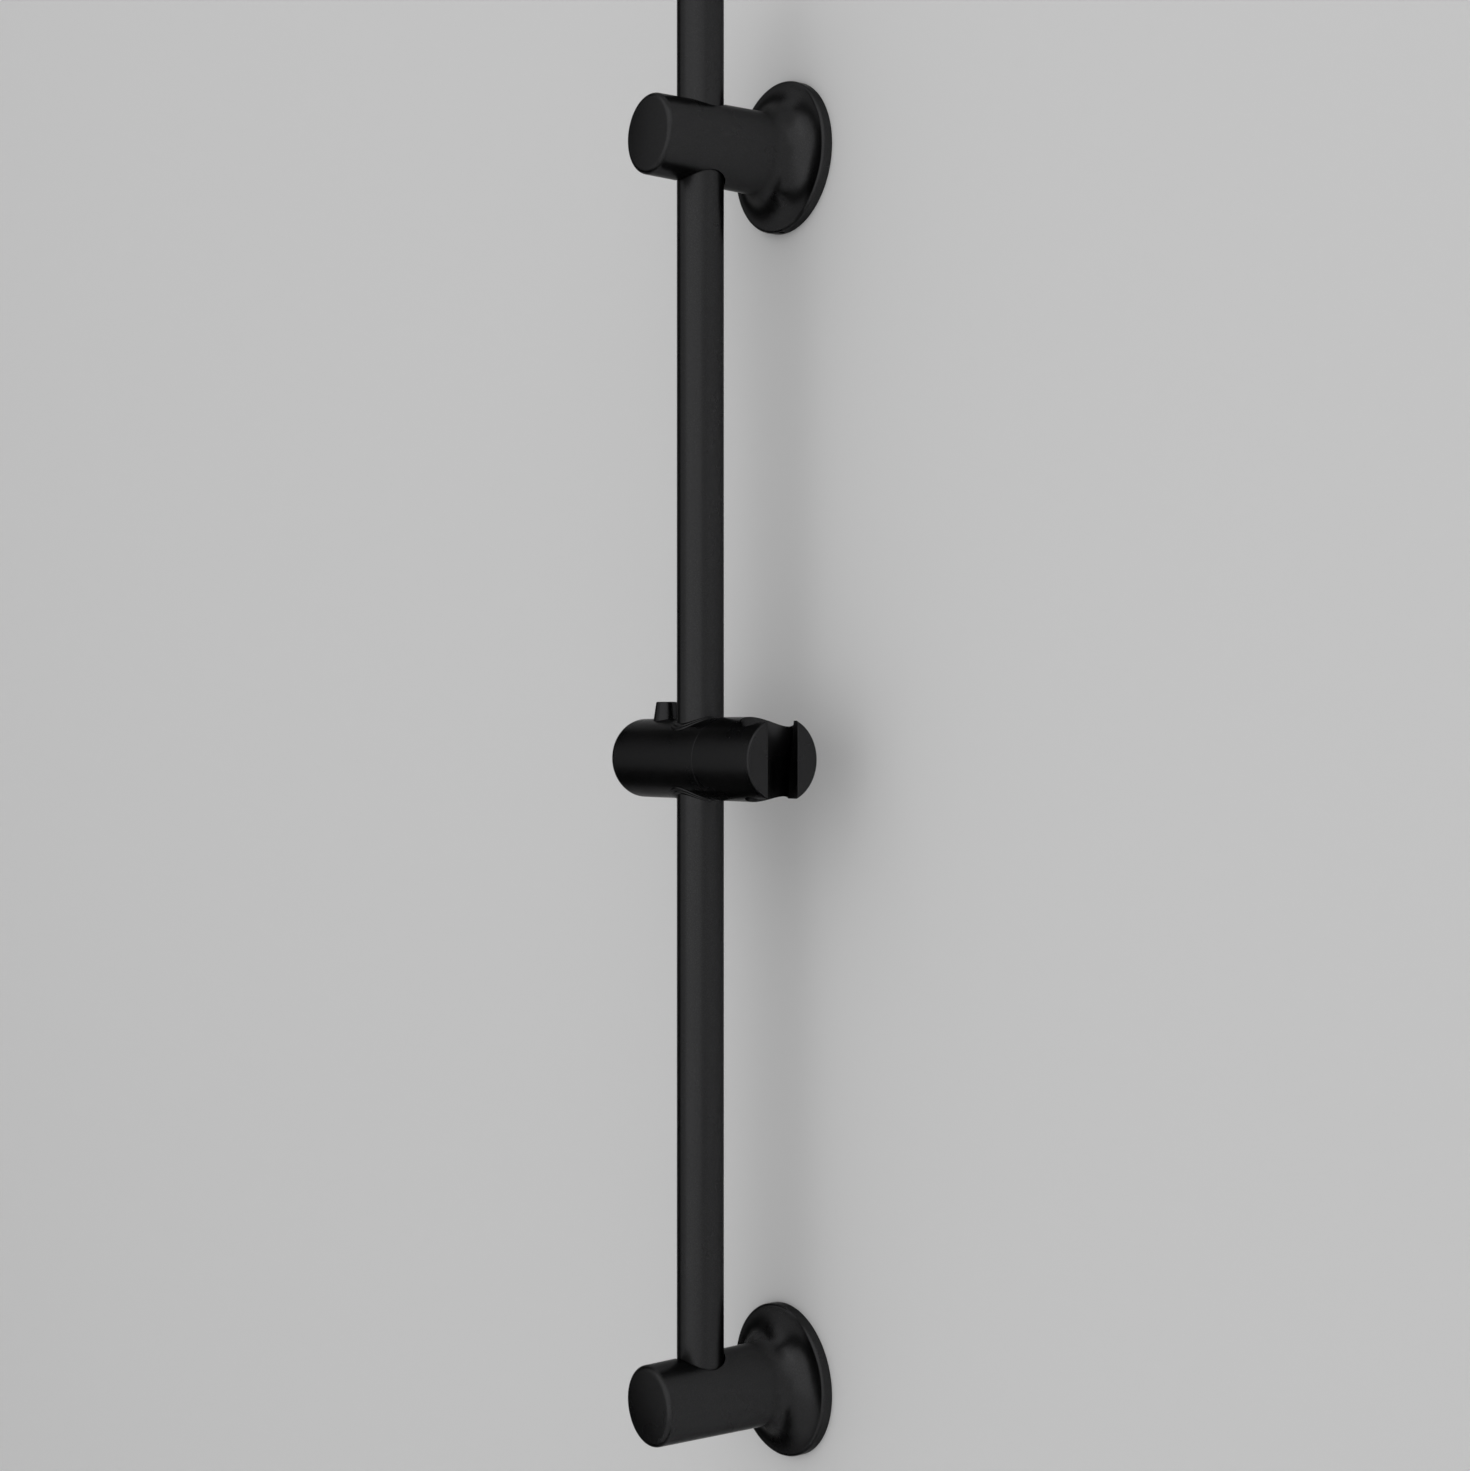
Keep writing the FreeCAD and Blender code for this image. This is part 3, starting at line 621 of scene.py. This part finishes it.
def skinned(name, rings, hollow=False):
    """A smooth piece through rings of as many points each.

    A hollow one closes from its last ring to its first, and any other has a flat face at each end.
    """
    made = bmesh.new()
    rings = [[made.verts.new(point) for point in ring] for ring in rings]
    followers = rings[1:] + rings[:1] if hollow else rings[1:]
    for ring, following in zip(rings, followers):
        for side in range(len(ring)):
            after = (side + 1) % len(ring)
            made.faces.new((ring[side], ring[after], following[after], following[side]))
    if not hollow:
        made.faces.new(rings[0])
        made.faces.new(rings[-1])
    bmesh.ops.recalc_face_normals(made, faces=made.faces)
    mesh = bpy.data.meshes.new(name)
    made.to_mesh(mesh)
    made.free()
    mesh.shade_smooth()
    mesh.set_sharp_from_angle(angle=SHARP_CORNER)
    piece = bpy.data.objects.new(name, mesh)
    bpy.context.scene.collection.objects.link(piece)
    return piece


def round_angles(sides):
    """Even angles round a full turn."""
    return [2 * math.pi * side / sides for side in range(sides)]


def turned(name, profile, sides, place, hollow=False):
    """A solid of revolution about the z axis of a placing matrix, from (radius, height) points.

    A radius is a number or a function of the angle.
    """
    rings = []
    for radius, height in profile:
        ring = []
        for angle in round_angles(sides):
            reach = radius(angle) if callable(radius) else radius
            ring.append(place @ Vector((reach * math.cos(angle), reach * math.sin(angle), height)))
        rings.append(ring)
    return skinned(name, rings, hollow)


def stand_for(context, piece, node, body, slot):
    """Dresses a new piece, sets it on its body and lets it stand for a CAD node."""
    piece.data.materials.append(finish_for(context, slot))
    fair_normals(piece).keep_sharp = True
    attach(piece, body)
    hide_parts(node)


def hexagon(corner):
    """Radius of a hexagon at an angle."""
    flat = corner * math.cos(math.pi / 6)
    return lambda angle: flat / math.cos(angle % (math.pi / 3) - math.pi / 6)


def thread(radius, pitch, start, end):
    """Profile points of a thread between two heights, which runs out at both."""
    depth = THREAD_DEPTH * pitch
    count = round((end - start) / pitch * THREAD_STEPS)
    points = []
    for step in range(count + 1):
        height = start + (end - start) * step / count
        fade = min(1.0, (height - start) / pitch, (end - height) / pitch)

        def reach(angle, height=height, fade=fade):
            turn = (height / pitch - angle / (2 * math.pi)) % 1.0
            groove = min(max((1.0 - abs(2.0 * turn - 1.0)) * FLANK_SLOPE - CREST_FLAT, 0.0), 1.0)
            return radius - depth * fade * groove

        points.append((reach, height))
    return points


def placed_along(start, direction):
    """A placing matrix whose z axis runs from a start point in a direction."""
    return Matrix.Translation(start) @ direction.to_track_quat("Z", "Y").to_matrix().to_4x4()


def grub_screw(context, node, direction, pitch):
    """A threaded headless screw in the place of a CAD node, with its point at the start of a direction."""
    pieces = context.scene.slide_rail_pieces
    low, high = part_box(node)
    size = high - low
    length = abs(size.dot(direction))
    radius = (size.x + size.y + size.z - length) / 4
    start = (low + high) / 2 - direction * length / 2
    edge = pieces.screw_edge
    socket = hexagon(radius * pieces.socket_share)
    profile = [(radius * pieces.point_share, 0.0)]
    profile += thread(radius, pitch, pieces.screw_point, length - edge)
    profile += [(radius - edge, length), (socket, length), (socket, length - pieces.socket_depth)]
    screw = turned(f"{node}_threaded", profile, SCREW_SIDES, placed_along(start, direction))
    stand_for(context, screw, node, "rail", "steel")


def pivot_screw(context, node):
    """The holder's pivot screw, with its head towards the tube."""
    pieces = context.scene.slide_rail_pieces
    low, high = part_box(node)
    middle = (low + high) / 2
    length = high.x - low.x
    head = (high.y - low.y) / 2
    shank = pieces.pivot_shank
    under = length - pieces.pivot_head
    edge = pieces.screw_edge
    taper = 2 * edge
    socket = hexagon(pieces.pivot_socket)
    profile = [(shank - taper, 0.0)]
    profile += thread(shank, pieces.pivot_pitch, taper, pieces.pivot_thread)
    profile += [(shank, under), (head, under), (head, length - edge), (head - edge, length)]
    profile += [(socket, length), (socket, length - pieces.pivot_socket_depth)]
    tip = Vector((high.x, middle.y, middle.z))
    screw = turned(f"{node}_threaded", profile, SCREW_SIDES, placed_along(tip, Vector((-1.0, 0.0, 0.0))))
    stand_for(context, screw, node, "holder", "steel")


def rounded_edge(radius, height, edge, start):
    """Profile points of a quarter round about a (radius, height) centre, from a start angle."""
    turns = [start + math.pi / 2 * step / EDGE_STEPS for step in range(EDGE_STEPS + 1)]
    return [(radius + edge * math.cos(t), height + edge * math.sin(t)) for t in turns]


class SLIDERAIL_OT_tube(bpy.types.Operator):
    """Turn the tube finely, with rounded cut ends, and coat it"""

    bl_idname = "slide_rail.tube"
    bl_label = "Rail Tube"

    def execute(self, context):
        pieces = context.scene.slide_rail_pieces
        edge = pieces.tube_edge
        outer = TUBE_RADIUS - edge
        inner = TUBE_RADIUS - pieces.tube_wall + edge
        foot = TUBE_LOW.z + edge
        head = TUBE_HIGH.z - edge
        profile = rounded_edge(outer, foot, edge, -math.pi / 2) + rounded_edge(outer, head, edge, 0.0)
        profile += rounded_edge(inner, head, edge, math.pi / 2) + rounded_edge(inner, foot, edge, math.pi)
        place = Matrix.Translation((TUBE_AXIS.x, TUBE_AXIS.y, 0.0))
        tube = turned("rail_tube_coated", profile, pieces.tube_sides, place, hollow=True)
        stand_for(context, tube, "rail_tube", "rail", "coated_metal")
        return {"FINISHED"}


class SLIDERAIL_OT_brackets(bpy.types.Operator):
    """Coat the two wall brackets"""

    bl_idname = "slide_rail.brackets"
    bl_label = "Wall Brackets"

    def execute(self, context):
        dress(context, "coated_metal", "upper_bracket", "lower_bracket")
        return {"FINISHED"}


class SLIDERAIL_OT_mouldings(bpy.types.Operator):
    """Give the slider, its holder and button, and the tube's plug their black plastic"""

    bl_idname = "slide_rail.mouldings"
    bl_label = "Slider Mouldings"

    def execute(self, context):
        dress(context, "black_plastic", "slider_body", "handset_holder", "release_button")
        dress(context, "black_plastic", "upper_guide_bush", "lower_guide_bush", "rail_top_plug")
        return {"FINISHED"}


class SLIDERAIL_OT_liners(bpy.types.Operator):
    """Give the bushes, the grip sleeve, the washer and the brake their inner finishes"""

    bl_idname = "slide_rail.liners"
    bl_label = "Liners and Brake"

    def execute(self, context):
        dress(context, "inner_plastic", "upper_rail_bush", "lower_rail_bush", "grip_sleeve")
        dress(context, "inner_plastic", "holder_washer", "brake_shoe")
        dress(context, "pad_rubber", "brake_pad")
        return {"FINISHED"}


class SLIDERAIL_OT_plates(bpy.types.Operator):
    """Give the wall plates their brushed steel"""

    bl_idname = "slide_rail.plates"
    bl_label = "Wall Plates"

    def execute(self, context):
        dress(context, "steel", "upper_wall_plate", "lower_wall_plate")
        return {"FINISHED"}


class SLIDERAIL_OT_spring(bpy.types.Operator):
    """Wind the brake spring, which shortens as the brake lets go"""

    bl_idname = "slide_rail.spring"
    bl_label = "Brake Spring"

    def execute(self, context):
        pieces = context.scene.slide_rail_pieces
        wire = pieces.spring_wire
        low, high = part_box("brake_spring")
        length = high.x - low.x
        middle = (low + high) / 2
        fixed_end = Vector((low.x, middle.y, middle.z))
        along = Vector((1.0, 0.0, 0.0))
        radius = (high.y - low.y - wire) / 2
        open_turns = pieces.spring_turns - 2 * CLOSED_TURNS
        pitch = (length - wire - 2 * CLOSED_TURNS * wire) / open_turns
        round_wire = round_angles(WIRE_SIDES)
        rings = []
        for step in range(round(pieces.spring_turns * COIL_STEPS) + 1):
            turn = step / COIL_STEPS
            closed = min(turn, CLOSED_TURNS) + max(turn - CLOSED_TURNS - open_turns, 0.0)
            rise = wire / 2 + closed * wire + (turn - closed) * pitch
            angle = 2 * math.pi * turn
            outward = Vector((0.0, math.cos(angle), math.sin(angle)))
            centre = fixed_end + along * rise + outward * radius
            rings.append(
                [centre + (outward * math.cos(a) + along * math.sin(a)) * wire / 2 for a in round_wire]
            )
        spring = skinned("brake_spring_wound", rings)
        stand_for(context, spring, "brake_spring", "slider", "steel")
        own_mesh(spring)
        return {"FINISHED"}


class SLIDERAIL_OT_screws(bpy.types.Operator):
    """Cut the screws, with their threads and hexagon sockets"""

    bl_idname = "slide_rail.screws"
    bl_label = "Screws"

    def execute(self, context):
        pieces = context.scene.slide_rail_pieces
        down = Vector((0.0, 0.0, -1.0))
        to_wall = Vector((0.0, 1.0, 0.0))
        for end in ("upper", "lower"):
            grub_screw(context, f"{end}_plate_screw", down, pieces.rim_pitch)
            grub_screw(context, f"{end}_rail_screw", to_wall, pieces.tube_pitch)
        pivot_screw(context, "holder_pivot_screw")
        return {"FINISHED"}


def plain_wall(colour):
    """Plain pale wall colour that is see-through from behind."""
    material, tree, shader = new_material("plain_wall", colour, WALL_ROUGHNESS)
    shader.inputs["Specular IOR Level"].default_value = WALL_GLOSS
    behind = tree.nodes.new("ShaderNodeNewGeometry").outputs["Backfacing"]
    clear = tree.nodes.new("ShaderNodeBsdfTransparent")
    mix = tree.nodes.new("ShaderNodeMixShader")
    tree.links.new(behind, mix.inputs["Fac"])
    tree.links.new(shader.outputs["BSDF"], mix.inputs[1])
    tree.links.new(clear.outputs["BSDF"], mix.inputs[2])
    tree.links.new(mix.outputs["Shader"], tree.nodes["Material Output"].inputs["Surface"])
    return material


def opening_behind(bracket):
    """A round outline in the wall, just inside the rim of a bracket's flange."""
    low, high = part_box(bracket)
    middle = (low + high) / 2
    radius = (high.x - low.x) / 2 - OPENING_INSET
    turns = round_angles(OPENING_SIDES)
    return [(middle.x + radius * math.cos(t), WALL_GAP, middle.z + radius * math.sin(t)) for t in turns]


def sheet(name, material, *outlines):
    """One flat sheet of the stage, from its outline and the outlines of the openings in it.

    Its front is the side from which the outline's first three corners turn anticlockwise.
    """
    made = bmesh.new()
    edges = []
    for outline in outlines:
        ring = [made.verts.new(place) for place in outline]
        edges += [made.edges.new(pair) for pair in zip(ring, ring[1:] + ring[:1])]
    bmesh.ops.triangle_fill(made, use_beauty=True, edges=edges)
    first, second, third = (Vector(place) for place in outlines[0][:3])
    facing = (second - first).cross(third - second)
    for face in made.faces:
        face.normal_update()
        if face.normal.dot(facing) < 0:
            face.normal_flip()
    mesh = bpy.data.meshes.new(name)
    made.to_mesh(mesh)
    made.free()
    mesh.materials.append(material)
    piece = bpy.data.objects.new(name, mesh)
    bpy.context.scene.collection.objects.link(piece)
    return piece


def softbox(name, azimuth, elevation, wide, tall, brightness):
    """An area lamp that faces the middle of the tube and fills the given angles, in degrees."""
    turn = math.radians(azimuth)
    rise = math.radians(elevation)
    away = Vector((math.sin(turn) * math.cos(rise), -math.cos(turn) * math.cos(rise), math.sin(rise)))
    lamp = bpy.data.lights.new(name, "AREA")
    lamp.shape = "RECTANGLE"
    lamp.size = 2 * SOFTBOX_DISTANCE * math.tan(math.radians(wide / 2))
    lamp.size_y = 2 * SOFTBOX_DISTANCE * math.tan(math.radians(tall / 2))
    lamp.energy = brightness * math.pi * lamp.size * lamp.size_y
    made = bpy.data.objects.new(name, lamp)
    made.location = TUBE_AXIS + away * SOFTBOX_DISTANCE
    made.rotation_euler = away.to_track_quat("Z", "Y").to_euler()
    made.visible_camera = False
    bpy.context.scene.collection.objects.link(made)


def flag_cloth(name, shade):
    """Dull dark cloth of a flag."""
    material, _, shader = new_material(name, (shade, shade, shade), 1.0)
    shader.inputs["Specular IOR Level"].default_value = 0.0
    return material


def plain_surround(colour):
    """Even pale surround past the wall and the floor."""
    world = bpy.data.worlds.new("plain_surround")
    world.use_nodes = True
    world.node_tree.nodes["Background"].inputs["Color"].default_value = (*colour, 1.0)
    return world


class SLIDERAIL_OT_stage(bpy.types.Operator):
    """Set up the wall, the floor, the dark flags, the soft light and the camera"""

    bl_idname = "slide_rail.stage"
    bl_label = "Stage"

    def execute(self, context):
        scene = context.scene
        stage = scene.slide_rail_stage
        floor = TUBE_LOW.z - stage.floor_drop
        wall = plain_wall(stage.wall_colour)
        reach = WALL_REACH
        back = WALL_GAP
        sheet(
            "wall",
            wall,
            [(-reach, back, floor), (reach, back, floor), (reach, back, reach), (-reach, back, reach)],
            opening_behind("upper_bracket"),
            opening_behind("lower_bracket"),
        )
        sheet(
            "floor",
            wall,
            [
                (-FLOOR_SIDE, FLOOR_FRONT, floor),
                (FLOOR_SIDE, FLOOR_FRONT, floor),
                (FLOOR_SIDE, back, floor),
                (-FLOOR_SIDE, back, floor),
            ],
        )
        for name, shade, corners in FLAGS:
            flag = sheet(name, flag_cloth(f"{name}_cloth", shade), corners)
            flag.visible_camera = False
            flag.visible_diffuse = False
            flag.visible_shadow = False
        for settings in SOFTBOXES:
            softbox(*settings)
        scene.world = plain_surround(stage.surround_colour)
        lens = bpy.data.cameras.new("camera")
        lens.lens = stage.lens
        lens.sensor_width = SENSOR_WIDTH
        camera = bpy.data.objects.new("camera", lens)
        camera.location = stage.camera_place
        camera.rotation_euler = (math.pi / 2, 0.0, stage.camera_azimuth)
        scene.collection.objects.link(camera)
        scene.camera = camera
        scene.view_settings.view_transform = "Standard"
        return {"FINISHED"}


PIECE_OPERATORS = (
    SLIDERAIL_OT_tube,
    SLIDERAIL_OT_brackets,
    SLIDERAIL_OT_mouldings,
    SLIDERAIL_OT_liners,
    SLIDERAIL_OT_plates,
    SLIDERAIL_OT_spring,
    SLIDERAIL_OT_screws,
    SLIDERAIL_OT_stage,
)


class SLIDERAIL_PT_sidebar(bpy.types.Panel):
    """Lists the operators and settings of the slide rail"""

    bl_idname = "SLIDERAIL_PT_sidebar"
    bl_label = "Slide Rail"
    bl_space_type = "VIEW_3D"
    bl_region_type = "UI"
    bl_category = "Slide Rail"

    def draw(self, context):
        layout = self.layout
        for operator in PIECE_OPERATORS:
            layout.operator(operator.bl_idname)
        for settings in (
            context.scene.slide_rail_finishes,
            context.scene.slide_rail_pieces,
            context.scene.slide_rail_stage,
        ):
            for key in settings.__annotations__:
                layout.prop(settings, key)


CLASSES = (RailFinishes, RailPieces, RailStage, *PIECE_OPERATORS, SLIDERAIL_PT_sidebar)


def register():
    """Registers the classes and hangs the settings on the scene."""
    for item in CLASSES:
        bpy.utils.register_class(item)
    bpy.types.Scene.slide_rail_finishes = bpy.props.PointerProperty(type=RailFinishes)
    bpy.types.Scene.slide_rail_pieces = bpy.props.PointerProperty(type=RailPieces)
    bpy.types.Scene.slide_rail_stage = bpy.props.PointerProperty(type=RailStage)


def unregister():
    """Takes the settings off the scene and unregisters the classes."""
    del bpy.types.Scene.slide_rail_stage
    del bpy.types.Scene.slide_rail_pieces
    del bpy.types.Scene.slide_rail_finishes
    for item in reversed(CLASSES):
        bpy.utils.unregister_class(item)


def main():
    """Registers the classes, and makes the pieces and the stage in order."""
    register()
    bpy.ops.slide_rail.tube()
    bpy.ops.slide_rail.brackets()
    bpy.ops.slide_rail.mouldings()
    bpy.ops.slide_rail.liners()
    bpy.ops.slide_rail.plates()
    bpy.ops.slide_rail.spring()
    bpy.ops.slide_rail.screws()
    bpy.ops.slide_rail.stage()


if __name__ == "__main__":
    main()
